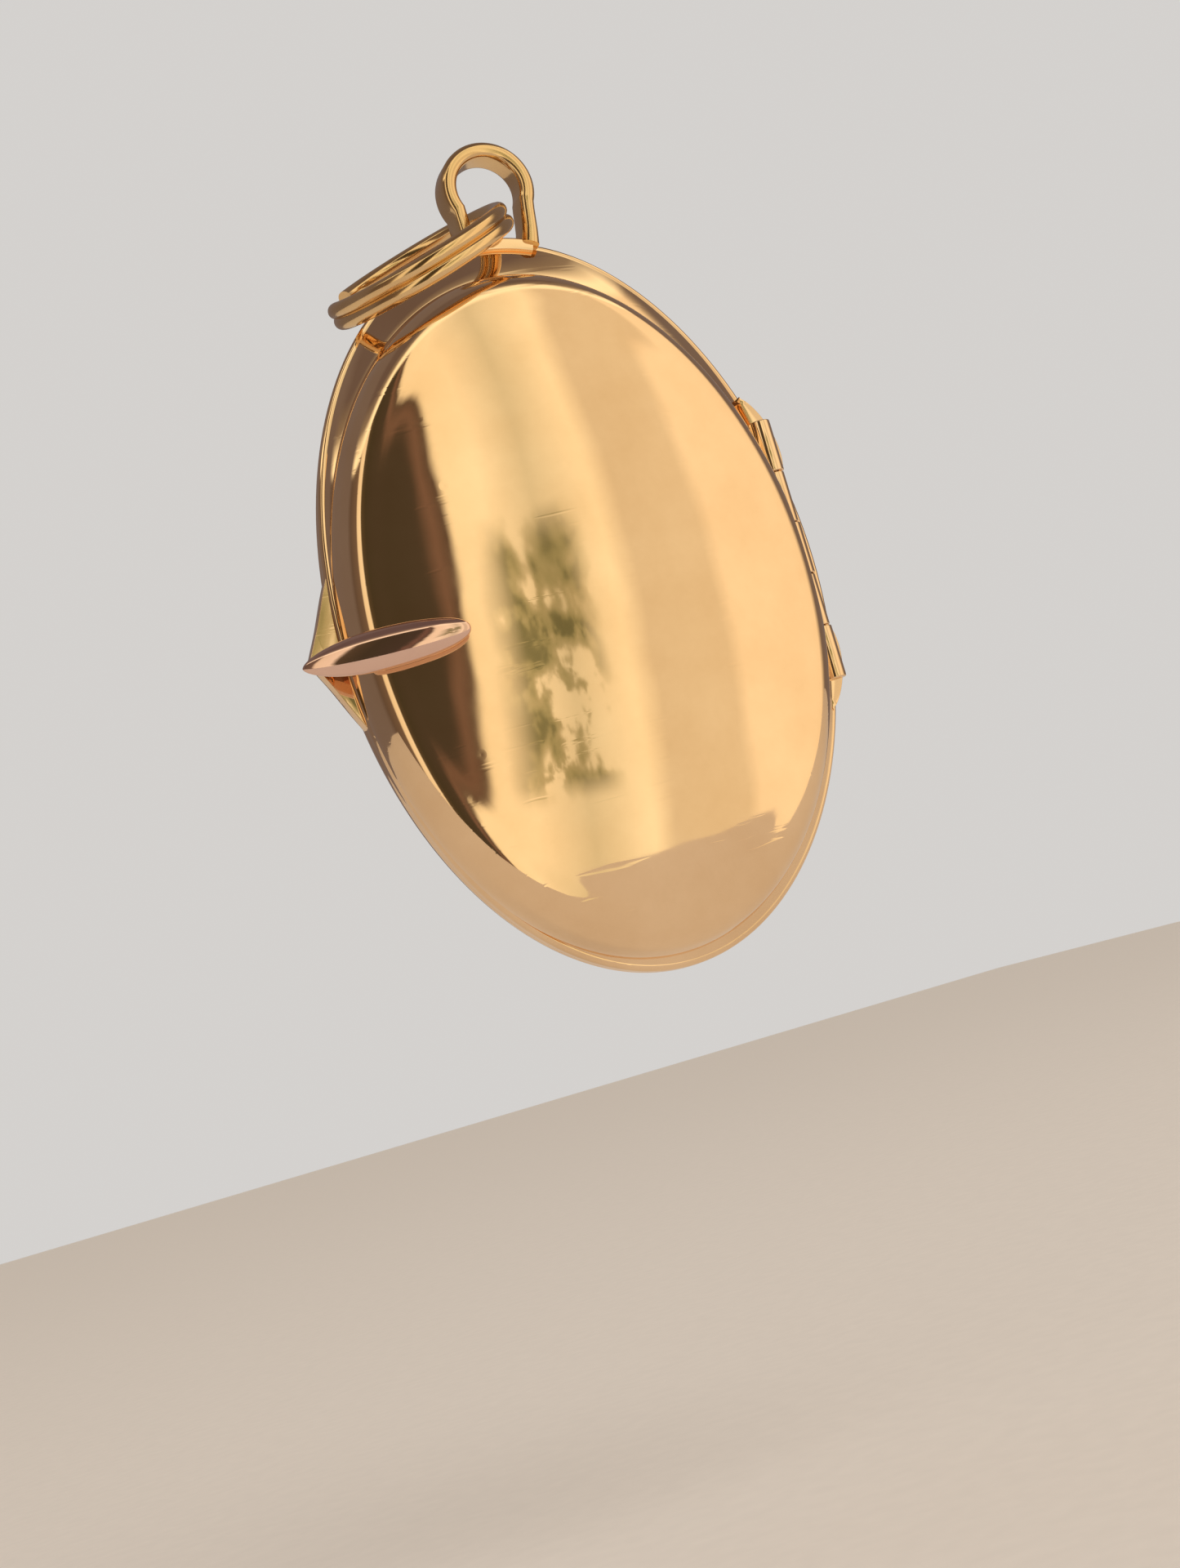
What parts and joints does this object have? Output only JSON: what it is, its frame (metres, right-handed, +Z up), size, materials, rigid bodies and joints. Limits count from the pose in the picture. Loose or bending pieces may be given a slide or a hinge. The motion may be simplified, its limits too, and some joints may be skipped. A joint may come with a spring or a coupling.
{
  "type": "locket",
  "caption": "Oval gold locket pendant with a domed cover on a side hinge, a thumb leaf and lug, two glazed photo recesses, a flat loop and a split ring.",
  "frame": {"origin": "middle of the pendant loop's eye", "axes": "+Z up the locket's long axis, the cover faces -Y, the hinge is on the +X side"},
  "size_m": [0.0223, 0.008, 0.0339],
  "materials": {
    "rose_gold": "polished",
    "yellow_gold": "polished",
    "pin_gold": "polished",
    "glass": "clear",
    "card": "matte"
  },
  "bodies": {
    "case": {"back_case": "rose_gold", "case_ledge": "rose_gold", "snap_bezel": "rose_gold", "back_photo_frame": "rose_gold", "back_glass": "glass", "back_card": "card", "knuckle_bottom": "rose_gold", "knuckle_middle": "rose_gold", "knuckle_top": "rose_gold", "hinge_pin": "pin_gold", "hinge_cheek_top": "rose_gold", "hinge_cheek_bottom": "rose_gold", "thumb_lug": "rose_gold", "pendant_loop": "rose_gold", "loop_seat": "rose_gold"},
    "cover": {"front_cover": "rose_gold", "cover_seat": "rose_gold", "cover_card": "card", "cover_glass": "glass", "cover_photo_frame": "rose_gold", "cover_hinge_bearer": "rose_gold", "cover_knuckle_lower": "rose_gold", "cover_knuckle_upper": "rose_gold", "thumb_leaf": "rose_gold"},
    "ring": {"split_ring": "yellow_gold"}
  },
  "joints": [
    {"name": "cover_hinge", "type": "hinge", "parent": "case", "child": "cover", "pos_m": [0.00855, -0.0003, -0.01705], "axis": [0, 0, 1], "range_deg": [0, 110]},
    {"name": "ring_swing", "type": "hinge", "parent": "case", "child": "ring", "pos_m": [0, 0, -0.0011], "axis": [0, 1, 0], "range_deg": [0, 220]}
  ]
}
